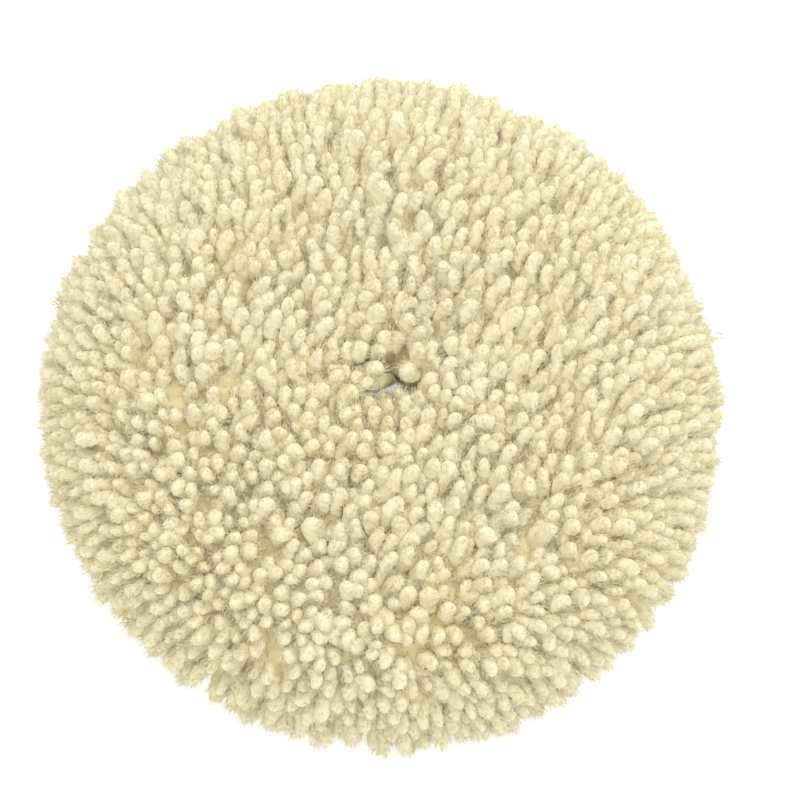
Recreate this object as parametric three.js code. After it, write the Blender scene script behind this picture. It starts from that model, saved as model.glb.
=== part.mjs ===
// A round wool polishing pad: cut pile tufted in straight rows into a canvas, on a foam cushion
// with a loop-fabric back. Millimetres, +Z up. The origin is the middle of the loop fabric's
// lower face, which the pad rests on, and the wool faces up.
import * as THREE from 'three';
import { mergeVertices } from 'three/addons/utils/BufferGeometryUtils.js';

// Overall sizes: the wool reaches past the canvas by its overhang, and the canvas past the cushion
const PILE_DIAMETER = 200;
const PILE_LENGTH = 21.2;
const RIM_OVERHANG = 14;
const CUSHION_INSET = 1;
const HOLE_DIAMETER = 16;

// Thickness of each layer, from the back to the face
const LOOP_THICKNESS = 2;
const FILM_THICKNESS = 0.4;
const FOAM_THICKNESS = 6;
const LATEX_THICKNESS = 0.8;
const CANVAS_THICKNESS = 1.2;

// Edges and threads
const FOAM_EDGE_RADIUS = 1.5;
const THREAD_THICKNESS = 0.8;
const THREAD_CHAMFER = 0.25;

// Tufting: 3/16 inch between needles, rows turned a little about the pad's axis
const ROW_PITCH = 4.7625;
const ROW_CLEARANCE = 0.3;
const ROW_TURN_DEGREES = 10;
const EDGE_MARGIN = 1.5;
const HOLE_MARGIN = 0.3;
const LAST_ROW_INSET = 0.6;

// How the pile leans: out over the rim, and in over the hole
const RIM_LEAN_DEGREES = 100;
const RIM_LEAN_POWER = 8;
const DIMPLE_MOUTH_RADIUS = 1.6;
const DIMPLE_DEPTH = 5;
const DIMPLE_REACH = 9;

// Where the curve of the pile bends over: a share of its reach out and of its length up
const BEND_OUT_SHARE = 0.4;
const BEND_UP_SHARE = 0.55;
const BEND_LOWEST = 0.4;

// Facets
const ROUND_SEGMENTS = 48;
const ROW_HALF_STEPS = 6;
const PILE_STEPS = 2;

// Sizes worked out from the ones above
const LOOP_TOP = LOOP_THICKNESS;
const FOAM_BOTTOM = LOOP_TOP + FILM_THICKNESS;
const FOAM_TOP = FOAM_BOTTOM + FOAM_THICKNESS;
const LATEX_BOTTOM = FOAM_TOP + FILM_THICKNESS;
const CANVAS_BOTTOM = LATEX_BOTTOM + LATEX_THICKNESS;
const CANVAS_TOP = CANVAS_BOTTOM + CANVAS_THICKNESS;
const HOLE_RADIUS = HOLE_DIAMETER / 2;
const CANVAS_RADIUS = PILE_DIAMETER / 2 - RIM_OVERHANG;
const CUSHION_RADIUS = CANVAS_RADIUS - CUSHION_INSET;
const ROOT_INNER_RADIUS = HOLE_RADIUS + THREAD_THICKNESS + HOLE_MARGIN;
const ROOT_OUTER_RADIUS = CANVAS_RADIUS - EDGE_MARGIN;
const RIM_LEAN = THREE.MathUtils.degToRad(RIM_LEAN_DEGREES);
const RIM_REACH = (PILE_DIAMETER / 2 - ROOT_OUTER_RADIUS) / Math.sin(RIM_LEAN);

const pad = new THREE.Group();

function cloth(color) {
  return new THREE.MeshStandardMaterial({ color, roughness: 0.95, metalness: 0 });
}

function rubbery(color) {
  return new THREE.MeshStandardMaterial({ color, roughness: 0.7, metalness: 0 });
}

const WOOL = cloth(0xe6dcb0);
const CANVAS = cloth(0xd8cfb4);
const THREAD = cloth(0xf0ead6);
const LOOP = cloth(0xf2f0ea);
const FOAM = rubbery(0xf3efdf);
const LATEX = rubbery(0xe9e2c6);
const FILM = rubbery(0xf7f5ee);

function addPiece(group, name, geometry, material) {
  const mesh = new THREE.Mesh(geometry, material);
  mesh.name = name;
  group.add(mesh);
}

// A ring turned about the pad's axis, from a closed outline of [radius, height] points.
function turnedRing(outline) {
  const points = [...outline, outline[0]].map(([radius, height]) => new THREE.Vector2(radius, height));
  return new THREE.LatheGeometry(points, ROUND_SEGMENTS).rotateX(Math.PI / 2);
}

function flatRing(inner, outer, bottom, top) {
  return turnedRing([[inner, bottom], [outer, bottom], [outer, top], [inner, top]]);
}

// The foam's two outer edges are rounded over in three steps each.
function foamRing() {
  const radius = FOAM_EDGE_RADIUS;
  const steps = 3;
  const outline = [[HOLE_RADIUS, FOAM_BOTTOM]];
  for (const [middle, start] of [[FOAM_BOTTOM + radius, -90], [FOAM_TOP - radius, 0]]) {
    for (let step = 0; step <= steps; step += 1) {
      const angle = THREE.MathUtils.degToRad(start + (90 * step) / steps);
      outline.push([
        CUSHION_RADIUS - radius + radius * Math.cos(angle),
        middle + radius * Math.sin(angle),
      ]);
    }
  }
  outline.push([HOLE_RADIUS, FOAM_TOP]);
  return turnedRing(outline);
}

// Thread sewn round an edge of the canvas: flat where it lies on the canvas, chamfered on its free side.
function threadRing(seat, free) {
  const out = Math.sign(free - seat);
  const outline = [
    [seat, CANVAS_BOTTOM],
    [free - out * THREAD_CHAMFER, CANVAS_BOTTOM],
    [free, CANVAS_BOTTOM + THREAD_CHAMFER],
    [free, CANVAS_TOP - THREAD_CHAMFER],
    [free - out * THREAD_CHAMFER, CANVAS_TOP],
    [seat, CANVAS_TOP],
  ];
  return turnedRing(out > 0 ? outline : outline.reverse());
}

// Where a tuft that is rooted in the canvas at (along, across) has got to at a share of its length.
// Tufts stand upright over most of the pad, fan out over the rim and lean in over the hole.
function pilePoint(along, across, share) {
  const root = Math.hypot(along, across);
  const lean = RIM_LEAN * (root / ROOT_OUTER_RADIUS) ** RIM_LEAN_POWER;
  const nearHole = Math.exp(-(root - ROOT_INNER_RADIUS) / DIMPLE_REACH);
  const pull = (ROOT_INNER_RADIUS - DIMPLE_MOUTH_RADIUS) * nearHole;
  const reach = RIM_REACH * Math.sin(lean) - pull;
  const rise = PILE_LENGTH * Math.cos(lean) - DIMPLE_DEPTH * nearHole;
  const bendOut = BEND_OUT_SHARE * reach;
  const bendUp = BEND_UP_SHARE * PILE_LENGTH * (BEND_LOWEST + (1 - BEND_LOWEST) * Math.cos(lean));
  const out = 2 * share * (1 - share) * bendOut + share * share * reach;
  const up = 2 * share * (1 - share) * bendUp + share * share * rise;
  const scale = (root + out) / root;
  return [along * scale, across * scale, CANVAS_TOP + up];
}

function chordEnd(radius, across) {
  return Math.sqrt(Math.max(radius * radius - across * across, 0));
}

// Positions along a row, closer together towards its ends. A half row starts at the hole.
function stations(across, half) {
  const end = chordEnd(ROOT_OUTER_RADIUS, across);
  const start = half ? Math.max(chordEnd(ROOT_INNER_RADIUS, across), HOLE_MARGIN) : 0;
  const places = [];
  for (let step = half ? 0 : -ROW_HALF_STEPS; step <= ROW_HALF_STEPS; step += 1) {
    const eased = (1 - Math.cos((Math.PI * Math.abs(step)) / ROW_HALF_STEPS)) / 2;
    places.push(Math.sign(step) * eased * (end - start) + start);
  }
  return places;
}

// One tufting row between two lines across the pad, as a closed skin of quads.
// The section at each station runs up the near side, over the top and down the far side.
// Every quad is split from its lower inner corner to its upper outer one, as its neighbour's is,
// so that the facing sides of two rows stay the clearance apart where the pile twists.
function rowGeometry(near, far, half) {
  const nearPlaces = stations(near, half);
  const farPlaces = stations(far, half);
  const sections = nearPlaces.map((place, index) => {
    const section = [];
    for (let step = 0; step <= PILE_STEPS; step += 1) {
      section.push(pilePoint(place, near, step / PILE_STEPS));
    }
    for (let step = PILE_STEPS; step >= 0; step -= 1) {
      section.push(pilePoint(farPlaces[index], far, step / PILE_STEPS));
    }
    return section;
  });
  const outwards = nearPlaces.map((place, index) => place + (nearPlaces[index + 1] ?? 0) >= 0);
  return skin(sections, outwards);
}

// Joins sections of equal length into a tube and closes both of its ends.
function skin(sections, outwards) {
  const count = sections[0].length;
  const faces = [];
  const quad = (a, b, c, d) => faces.push(a, c, b, a, d, c);
  const at = (section, point) => section * count + (point % count);
  for (let section = 0; section + 1 < sections.length; section += 1) {
    for (let point = 0; point < count; point += 1) {
      const corners = [
        at(section, point),
        at(section, point + 1),
        at(section + 1, point + 1),
        at(section + 1, point),
      ];
      const nearSide = point < count / 2;
      if (nearSide !== outwards[section]) {
        corners.push(corners.shift());
      }
      quad(...corners);
    }
  }
  const last = sections.length - 1;
  for (let point = 0; point + 1 < count / 2; point += 1) {
    const across = count - 1 - point;
    quad(at(0, point), at(0, across), at(0, across - 1), at(0, point + 1));
    quad(at(last, point), at(last, point + 1), at(last, across - 1), at(last, across));
  }
  const geometry = new THREE.BufferGeometry();
  geometry.setAttribute('position', new THREE.Float32BufferAttribute(sections.flat(2), 3));
  geometry.setIndex(faces);
  return mergeVertices(geometry);
}

function addBacking() {
  addPiece(pad, 'loop_fabric', flatRing(HOLE_RADIUS, CUSHION_RADIUS, 0, LOOP_TOP), LOOP);
  addPiece(pad, 'loop_film', flatRing(HOLE_RADIUS, CUSHION_RADIUS, LOOP_TOP, FOAM_BOTTOM), FILM);
  addPiece(pad, 'foam_cushion', foamRing(), FOAM);
  const filmRadius = CUSHION_RADIUS - FOAM_EDGE_RADIUS;
  addPiece(pad, 'canvas_film', flatRing(HOLE_RADIUS, filmRadius, FOAM_TOP, LATEX_BOTTOM), FILM);
  addPiece(pad, 'latex_coat', flatRing(HOLE_RADIUS, CUSHION_RADIUS, LATEX_BOTTOM, CANVAS_BOTTOM), LATEX);
}

function addCanvas() {
  const inner = HOLE_RADIUS + THREAD_THICKNESS;
  const outer = CANVAS_RADIUS;
  addPiece(pad, 'canvas_backing', flatRing(inner, outer, CANVAS_BOTTOM, CANVAS_TOP), CANVAS);
  addPiece(pad, 'canvas_edge_thread', threadRing(outer, outer + THREAD_THICKNESS), THREAD);
  addPiece(pad, 'hole_edge_thread', threadRing(inner, HOLE_RADIUS), THREAD);
}

// Rows are numbered outwards from the middle, on the two sides a and b. The last row on each
// side takes up what is left of the canvas, and a row that meets the hole is made as two halves.
function addPile() {
  const pile = new THREE.Group();
  pile.rotation.z = THREE.MathUtils.degToRad(ROW_TURN_DEGREES);
  const rowCount = Math.round(ROOT_OUTER_RADIUS / ROW_PITCH);
  for (let row = 1; row <= rowCount; row += 1) {
    const near = (row - 1) * ROW_PITCH + ROW_CLEARANCE / 2;
    const rowEnd = row * ROW_PITCH - ROW_CLEARANCE / 2;
    const far = row < rowCount ? rowEnd : ROOT_OUTER_RADIUS - LAST_ROW_INSET;
    const split = near < ROOT_INNER_RADIUS;
    const number = String(row).padStart(2, '0');
    for (const [side, turn] of [['a', 0], ['b', Math.PI]]) {
      const half = rowGeometry(near, far, split).rotateZ(turn);
      if (split) {
        const mirrored = rowGeometry(-far, -near, split).rotateZ(turn + Math.PI);
        addPiece(pile, `wool_row_${side}${number}_right`, half, WOOL);
        addPiece(pile, `wool_row_${side}${number}_left`, mirrored, WOOL);
      } else {
        addPiece(pile, `wool_row_${side}${number}`, half, WOOL);
      }
    }
  }
  pad.add(pile);
}

addBacking();
addCanvas();
addPile();

export default pad;
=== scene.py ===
"""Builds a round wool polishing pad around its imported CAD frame, in metres, wool face up."""

import math
from typing import NamedTuple

import bpy
import numpy as np
from bpy.props import FloatProperty, FloatVectorProperty, IntProperty, PointerProperty
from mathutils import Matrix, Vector, kdtree, noise


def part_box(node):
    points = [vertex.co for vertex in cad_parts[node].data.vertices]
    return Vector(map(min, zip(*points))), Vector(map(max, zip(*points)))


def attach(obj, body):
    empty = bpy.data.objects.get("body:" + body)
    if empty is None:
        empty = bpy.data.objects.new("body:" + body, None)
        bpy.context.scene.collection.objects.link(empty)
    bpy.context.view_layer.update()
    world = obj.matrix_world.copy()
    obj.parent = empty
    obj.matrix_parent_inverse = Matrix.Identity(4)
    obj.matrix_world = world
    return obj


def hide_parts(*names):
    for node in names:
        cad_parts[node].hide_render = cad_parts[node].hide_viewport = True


bl_info = {
    "name": "Wool Polishing Pad",
    "version": (1, 0, 0),
    "blender": (4, 5, 0),
    "location": "View3D > Sidebar > Wool Pad",
    "description": "Plants a cut-pile wool polishing pad on its CAD frame, with its backing and stage",
    "category": "Object",
}

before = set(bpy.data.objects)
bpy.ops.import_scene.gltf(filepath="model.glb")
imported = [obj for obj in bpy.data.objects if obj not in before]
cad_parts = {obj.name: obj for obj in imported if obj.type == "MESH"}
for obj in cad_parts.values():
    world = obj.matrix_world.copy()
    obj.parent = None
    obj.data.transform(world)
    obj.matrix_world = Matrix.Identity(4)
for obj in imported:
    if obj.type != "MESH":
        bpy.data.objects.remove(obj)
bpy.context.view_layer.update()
BODY = "root"
MM = 0.001
LOWEST = 0.3 * MM
SAME_POINT = 0.002 * MM
UPWARDS = np.array((0, 0, 1.0))

CANVAS_RADIUS, _, CANVAS_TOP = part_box("canvas_backing")[1]
PARTING_SHARE = 0.76
PARTING_RADIUS = PARTING_SHARE * CANVAS_RADIUS
HOLE_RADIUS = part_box("hole_edge_thread")[1][0]
ROW_NODES = sorted(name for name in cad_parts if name.startswith("wool_row"))


def measure(name, description, default, **limits):
    return FloatProperty(name=name, description=description, default=default, **limits)


def length(name, description, default):
    return measure(name, description, default, unit="LENGTH", subtype="DISTANCE", precision=5)


def angle(name, description, degrees):
    return measure(name, description, math.radians(degrees), unit="ROTATION", subtype="ANGLE")


def share(name, description, default):
    return measure(name, description, default, subtype="FACTOR")


def number(name, description, default):
    return IntProperty(name=name, description=description, default=default, min=1)


def colour(name, description, default):
    return FloatVectorProperty(
        name=name, description=description, default=default, subtype="COLOR", size=3, min=0, max=1
    )


class WoolPadPile(bpy.types.PropertyGroup):
    """Sizes, lean and colours of the cut pile"""

    stitch: length("Stitch length", "Distance between tufts along a row", 3.175 * MM)
    row_turn: angle("Row turn", "How far the tufting rows are turned about the pad's axis", 10)
    yarn_radius: length("Yarn radius", "Half the width of a yarn where it is fullest", 2.7 * MM)
    tuft_length: length("Tuft length", "Distance from a yarn's root to its cut end", 24 * MM)
    rim_shortening: share("Rim shortening", "How much shorter the outermost tufts reach", 0.27)
    length_spread: share("Length spread", "How much the tufts' lengths differ", 0.04)
    width_spread: share("Width spread", "How much the yarns' widths differ", 0.10)
    rim_lean: angle("Rim lean", "How far the outermost tufts lean out over the rim", 98)
    rim_power: measure("Rim power", "How late the lean over the rim sets in", 7.5)
    nap_lean: angle("Nap lean", "How far the whole pile is brushed to one side", 38)
    hole_lean: angle("Hole lean", "How far the tufts round the hole lean in over it", 3)
    hole_drop: length("Hole drop", "How much shorter the tufts stand round the hole", 5.5 * MM)
    fallen_lean: angle("Fallen lean", "How far the few yarns that have fallen across the hole lean", 58)
    clump_size: length("Clump size", "Distance between the clumps that the yarns gather in", 12 * MM)
    clump_lean: angle("Clump lean", "How far a clump's outer yarns lean in to it", 5)
    drift_lean: angle("Drift lean", "How far slow changes in the nap tip the yarns", 9)
    stray_lean: angle("Stray lean", "How far each yarn strays by itself", 7)
    wander: length("Wander", "How far the middle of each yarn strays sideways", 1.1 * MM)
    head_gap: length("Head gap", "How far apart the yarns' ends push one another", 5.0 * MM)
    bed_share: share("Bed share", "How far up packed fibres close the gaps between the yarns", 0.69)
    coat: number("Fibre coat", "Short fibres on each yarn's upper part", 84)
    under: number("Under wool", "Loose fibres between the yarns, for each yarn", 40)
    frayed: number("Frayed fibres", "Short fibres that spread from each cut end", 28)
    strays: number("Stray fibres", "Long loose fibres on each yarn's end", 3)
    tip_colour: colour("Tip colour", "Wool at the cut ends", (0.965, 0.89, 0.59))
    # Darker, yellower wool down in the pile: painted shade for the gaps between the yarns.
    root_shade_colour: colour("Root colour", "Wool down in the pile", (0.95, 0.84, 0.46))
    seed: number("Seed", "Seed of the pile's random draws and of its drift", 7)


class WoolPadBacking(bpy.types.PropertyGroup):
    """Sizes and colours of the layers that the pile is sewn and glued to"""

    loop_pitch: length("Loop pitch", "Distance between the loops of the fastening face", 2.2 * MM)
    loop_width: length("Loop width", "How wide one loop stands open", 1.5 * MM)
    loop_yarn: length("Loop yarn", "Half the width of a loop's yarn", 0.13 * MM)
    ground: length("Ground fabric", "Thickness of the knitted ground that carries the loops", 0.6 * MM)
    foam_rounding: length("Foam rounding", "Radius of the foam's edges", 1.5 * MM)
    foam_cell: length("Foam cell", "Size of the foam's cells", 0.8 * MM)
    weave: length("Weave pitch", "Distance between the canvas's threads", 1.0 * MM)
    overlock: length("Overlock pitch", "Distance between the stitches that bind an edge", 1.4 * MM)
    thread_radius: length("Thread radius", "Half the width of the binding thread", 0.28 * MM)
    waver: length("Waver", "How far the glued layers' edges waver", 0.3 * MM)
    foam_colour: colour("Foam colour", "Closed-cell foam", (0.88, 0.85, 0.72))
    canvas_colour: colour("Canvas colour", "Woven cotton", (0.66, 0.60, 0.45))
    thread_colour: colour("Thread colour", "Binding thread", (0.86, 0.82, 0.68))
    loop_colour: colour("Loop colour", "Fastening fabric", (0.86, 0.85, 0.80))
    latex_colour: colour("Latex colour", "Dried latex on the canvas's back", (0.80, 0.75, 0.58))
    film_colour: colour("Film colour", "Glue film", (0.90, 0.89, 0.84))


class WoolPadStage(bpy.types.PropertyGroup):
    """Camera, lights and floor"""

    camera_elevation: angle("Camera elevation", "Height of the camera above the horizon", 80)
    camera_distance: length("Camera distance", "Distance from the camera to the pad", 450 * MM)
    view_width: length("View width", "Width that the picture covers at the pad", 235 * MM)
    floor_colour: colour("Floor colour", "Colour of the floor", (0.93, 0.93, 0.93))


# ---------------------------------------------------------------- modelling helpers


def deselect_everything():
    if bpy.context.object and bpy.context.object.mode != "OBJECT":
        bpy.ops.object.mode_set(mode="OBJECT")
    bpy.ops.object.select_all(action="DESELECT")


def edit_all():
    """Opens the active object for editing, with all of it selected."""
    bpy.ops.object.mode_set(mode="EDIT")
    bpy.ops.mesh.select_all(action="SELECT")


def extrude(move):
    bpy.ops.mesh.extrude_region_move(TRANSFORM_OT_translate={"value": move})


def finish_editing():
    """Turns every face outwards and closes editing."""
    bpy.ops.mesh.select_all(action="SELECT")
    bpy.ops.mesh.normals_make_consistent(inside=False)
    bpy.ops.object.mode_set(mode="OBJECT")


def select_level(thing, low, high):
    """Leaves editing, and comes back to it with only the points between two levels selected."""
    bpy.ops.mesh.select_all(action="DESELECT")
    bpy.ops.object.mode_set(mode="OBJECT")
    for vertex in thing.data.vertices:
        vertex.select = low < vertex.co.z < high
    bpy.ops.object.mode_set(mode="EDIT")
    bpy.ops.mesh.select_mode(type="VERT")


def mesh_points(mesh):
    points = np.empty(len(mesh.vertices) * 3)
    mesh.vertices.foreach_get("co", points)
    return points.reshape(-1, 3)


def take_shape(thing):
    """The points and faces of a modelled shape, which is then removed: its copies stand for it."""
    mesh = thing.data
    shape = mesh_points(mesh), [tuple(face.vertices) for face in mesh.polygons]
    bpy.data.objects.remove(thing)
    bpy.data.meshes.remove(mesh)
    return shape


YARN_SIDES = 8
YARN_RINGS = (0.0, 0.35, 0.56, 0.70, 0.81, 0.90, 0.96, 0.99)
YARN_WIDTHS = (0.6, 0.9, 1.04, 1.06, 0.99, 0.82, 0.58, 0.30)
YARN_OVAL = 0.14
YARN_LUMPS = 0.05
YARN_TWIST = math.radians(480)
WIDTH_LIMITS = 0.72, 1.35


def model_yarn():
    """One two-ply yarn, a unit long and about a unit in radius: an oval section that turns as it rises
    and closes in a rounded cut end."""
    deselect_everything()
    bpy.ops.mesh.primitive_circle_add(vertices=YARN_SIDES, radius=YARN_WIDTHS[0])
    yarn = bpy.context.object
    edit_all()
    bpy.ops.transform.resize(value=(1 + YARN_OVAL, 1 - YARN_OVAL, 1))
    for ring in range(1, len(YARN_RINGS)):
        rise = YARN_RINGS[ring] - YARN_RINGS[ring - 1]
        growth = YARN_WIDTHS[ring] / YARN_WIDTHS[ring - 1]
        middle = (0, 0, YARN_RINGS[ring])
        extrude((0, 0, rise))
        bpy.ops.transform.rotate(value=YARN_TWIST * rise, orient_axis="Z", center_override=middle)
        bpy.ops.transform.resize(value=(growth, growth, 1), center_override=middle)
    extrude((0, 0, 1 - YARN_RINGS[-1]))
    bpy.ops.mesh.merge(type="CENTER")
    select_level(yarn, -1, YARN_RINGS[1] / 2)
    bpy.ops.mesh.edge_face_add()
    finish_editing()
    return take_shape(yarn)


STRAY_POINT = 0.3


def model_stray():
    """One long loose fibre, a unit long: a three-sided thread, fullest in the middle."""
    deselect_everything()
    bpy.ops.mesh.primitive_circle_add(vertices=3, radius=1)
    fibre = bpy.context.object
    edit_all()
    bpy.ops.transform.translate(value=(0, 0, STRAY_POINT))
    extrude((0, 0, 1 - 2 * STRAY_POINT))
    extrude((0, 0, STRAY_POINT))
    bpy.ops.mesh.merge(type="CENTER")
    select_level(fibre, STRAY_POINT - 0.01, STRAY_POINT + 0.01)
    extrude((0, 0, -STRAY_POINT))
    bpy.ops.mesh.merge(type="CENTER")
    finish_editing()
    return take_shape(fibre)


def model_coat_fibre():
    """One short fibre of the coat, a unit long: a three-sided spike."""
    deselect_everything()
    bpy.ops.mesh.primitive_cone_add(vertices=3, radius1=1, radius2=0, depth=1, location=(0, 0, 0.5))
    bpy.ops.object.transform_apply(location=True)
    return take_shape(bpy.context.object)


BED_STEP = 1.5 * MM
BED_COLUMNS = 3


def model_bed(long):
    """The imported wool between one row's yarns, as a slab a unit wide and a unit high, ready to bend."""
    deselect_everything()
    steps = max(4, round(long / BED_STEP))
    bpy.ops.mesh.primitive_grid_add(x_subdivisions=steps, y_subdivisions=BED_COLUMNS, size=1)
    bed = bpy.context.object
    edit_all()
    bpy.ops.transform.translate(value=(0.5, 0.5, 1))
    extrude((0, 0, -0.5))
    extrude((0, 0, -0.5))
    finish_editing()
    return take_shape(bed)


def unit(vectors):
    return vectors / np.maximum(np.linalg.norm(vectors, axis=-1, keepdims=True), 1e-12)


def curve_point(s, low, bend, end):
    """The point at share s of a quadratic curve."""
    return (1 - s) ** 2 * low + 2 * s * (1 - s) * bend + s**2 * end


def curve_heading(s, low, bend, end):
    """The way a quadratic curve runs at share s."""
    return unit(2 * (1 - s) * (bend - low) + 2 * s * (end - bend))


# ---------------------------------------------------------------- the pile's lean


# The line past which the pile is brushed, how softly that sets in, and the nap before and past it.
BRUSHED_SLOPE = 0.93
BRUSHED_OFFSET = 50 * MM
BRUSHED_BLEND = 20 * MM
NAP_X, NAP_X_GAIN = 0.28, 0.10
NAP_Y, NAP_Y_GAIN = 0.52, 0.42


def nap_direction(x, y):
    """Which way the pile is brushed: up and to the right over most of the face, and hardly at all along
    its lower left edge."""
    brushed = 1 / (1 + math.exp(-(BRUSHED_SLOPE * x + y + BRUSHED_OFFSET) / BRUSHED_BLEND))
    return Vector((NAP_X + NAP_X_GAIN * brushed, NAP_Y + NAP_Y_GAIN * brushed, 0))


CLUMP_ROWS = 0.87
CLUMP_JITTER = 0.38


def clump_centres(pile, draw):
    """Places that the yarns gather towards: a jittered grid over the canvas."""
    step = pile.clump_size
    reach = math.ceil(CANVAS_RADIUS / step) + 1
    span = range(-reach, reach)
    grid = np.array([(i + 0.5 * (j % 2), j * CLUMP_ROWS) for i in span for j in span])
    return (grid + draw.uniform(-CLUMP_JITTER, CLUMP_JITTER, grid.shape)) * step


HOLE_FADE = 8 * MM


def near_hole(reach):
    """1 at the hole's edge, and less further out."""
    return math.exp(-max(reach - HOLE_RADIUS, 0) / HOLE_FADE)


RIM_MARGIN = 1.5 * MM
RIM_MOST = 1.02
RIM_CALM, RIM_CALM_POWER = 0.7, 6
HOLE_CALM = 0.8
DRIFT_SIZE = 21 * MM
FINE_DRIFT_SIZE = 9 * MM
FINE_DRIFT = 0.5
FINE_DRIFT_SHIFT = Vector((7, 3, 1))
DRIFT_GAIN = 1.6


def nap_lean_at(pile, x, y):
    """The lean of the pile as a whole at (x, y): a vector whose length is its angle."""
    place = Vector((x, y, 0))
    reach = place.length
    outwards = place / max(reach, 1e-9)
    rimward = min(reach / (CANVAS_RADIUS - RIM_MARGIN), RIM_MOST) ** pile.rim_power
    lean = outwards * (pile.rim_lean * rimward - pile.hole_lean * near_hole(reach))
    rim_calm = 1 - RIM_CALM * min(reach / CANVAS_RADIUS, 1) ** RIM_CALM_POWER
    calm = rim_calm * (1 - HOLE_CALM * near_hole(reach))
    lean += nap_direction(x, y) * pile.nap_lean * calm
    fine = noise.noise_vector(place / FINE_DRIFT_SIZE + FINE_DRIFT_SHIFT) * FINE_DRIFT
    drift = noise.noise_vector(place / DRIFT_SIZE) + fine
    return lean + Vector((drift.x, drift.y, 0)) * pile.drift_lean * DRIFT_GAIN * calm


def tuft_lean_at(pile, x, y, clumps, draw):
    """The lean of one tuft: the pile's, with its clump's and its own."""
    gaps = clumps - np.array((x, y))
    nearest = gaps[np.argmin((gaps**2).sum(axis=1))]
    gathered = Vector((*nearest, 0)) / (pile.clump_size / 2) * pile.clump_lean
    lean = nap_lean_at(pile, x, y)
    upright = max(0.0, 1 - lean.length / pile.nap_lean)
    stray = draw.normal(0, pile.stray_lean * (1 + upright), 2)
    return lean + gathered + Vector((*stray, 0))


EDGE_STRETCH, EDGE_STRETCH_TURN = 0.0083, math.radians(41)
EDGE_CORNERS, EDGE_CORNERS_TURN = 0.0098, math.radians(169)


def outline(x, y):
    """How far the pad's soft edge stands out from a true circle here, as a share of its radius."""
    turn = math.atan2(y, x)
    stretched = EDGE_STRETCH * math.cos(2 * (turn + EDGE_STRETCH_TURN))
    cornered = EDGE_CORNERS * math.cos(3 * turn - EDGE_CORNERS_TURN)
    return 1 + (stretched + cornered) * (math.hypot(x, y) / CANVAS_RADIUS) ** 2


# ---------------------------------------------------------------- rows of tufts


ROOTED = 0.02 * MM
ONE_LINE = 0.1 * MM


def row_sides(name, turn):
    """The two lines in the canvas between which a row is sewn, from its CAD solid, each as (start, end,
    across)."""
    points = mesh_points(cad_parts[name].data)
    rooted = points[np.abs(points[:, 2] - CANVAS_TOP) < ROOTED]
    along, across = turned(rooted[:, 0], rooted[:, 1], -turn)
    one_side = np.abs(across - across.min()) < ONE_LINE
    return [
        (along[side].min(), along[side].max(), across[side].mean())
        for side in (one_side, ~one_side)
    ]


def turned(x, y, angle):
    cos, sin = math.cos(angle), math.sin(angle)
    return x * cos - y * sin, x * sin + y * cos


LEG_GAP = 1.8 * MM
ROOT_JITTER = 0.28 * MM


def row_roots(pile, name, draw):
    """The places in the canvas that one row's yarns come out of. Over the flat of the pad both legs of
    a tuft stand together as one; near the rim they part."""
    start, end, across = (sum(pair) / 2 for pair in zip(*row_sides(name, pile.row_turn)))
    count = max(2, round((end - start) / pile.stitch))
    along = np.linspace(start, end, count + 1)[:-1] + (end - start) / count / 2
    parted = np.hypot(along, across) > PARTING_RADIUS
    along = np.concatenate([along, along[parted]])
    across = np.where(parted, across - LEG_GAP / 2, across)
    across = np.concatenate([across, across[parted] + LEG_GAP])
    along, across = (part + draw.normal(0, ROOT_JITTER, len(along)) for part in (along, across))
    return np.column_stack(turned(along, across, pile.row_turn))


MOST_TILT = math.radians(112)
ROOT_DEPTH = 0.3 * MM


def tuft_chords(roots, leans, lengths):
    """Each tuft's root in the canvas and its end, from its lean and length."""
    tilt = np.minimum(np.linalg.norm(leans, axis=1), MOST_TILT)[:, None]
    aside = np.column_stack([unit(leans), np.zeros(len(roots))])
    swell = np.array([outline(x, y) for x, y in roots])[:, None]
    low = np.column_stack([roots * swell, np.full(len(roots), CANVAS_TOP - ROOT_DEPTH)])
    return low, low + (aside * np.sin(tilt) + UPWARDS * np.cos(tilt)) * lengths[:, None]


SETTLE_ROUNDS = 80
SETTLE_PUSH = 0.3
SETTLE_PULL = 0.015


def settle(low, end, gap):
    """Pushes the yarns' ends apart until they lie beside one another, as packed yarns must."""
    tree = kdtree.KDTree(len(end))
    for index, place in enumerate(end):
        tree.insert(place, index)
    tree.balance()
    close = [(i, j) for i, place in enumerate(end) for _, j, _ in tree.find_range(place, 2 * gap)]
    first, second = np.array([pair for pair in close if pair[0] < pair[1]]).T
    start = end.copy()
    lengths = np.linalg.norm(end - low, axis=1, keepdims=True)
    for _ in range(SETTLE_ROUNDS):
        between = end[second] - end[first]
        apart = np.linalg.norm(between, axis=1, keepdims=True)
        push = between / apart * np.maximum(gap - apart, 0) * SETTLE_PUSH
        shift = SETTLE_PULL * (start - end)
        np.add.at(shift, first, -push)
        np.add.at(shift, second, push)
        end = low + unit(end + shift - low) * lengths
    return end


BEND_OUT, BEND_OUT_TILTED = 0.06, 0.15
BEND_UP, BEND_UP_STANDING = 0.28, 0.38


def bent_paths(low, end, wander=0):
    """Each tuft as the three points of a quadratic curve that rises from the canvas and then lies over
    to its end, and its side-on direction."""
    chord = end - low
    lengths = np.linalg.norm(chord, axis=1, keepdims=True)
    aside = unit(chord * (1, 1, 0))
    rise = chord[:, 2:3] / lengths
    over = np.sqrt(np.maximum(1 - rise**2, 0))
    tilt = np.arccos(np.clip(rise, -1, 1))
    bend = low + aside * lengths * over * (BEND_OUT + BEND_OUT_TILTED * tilt)
    bend[:, 2:3] += lengths * (BEND_UP + BEND_UP_STANDING * rise)
    return low, bend + wander, end, aside


SHORTENING_POWER = 8


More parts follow.
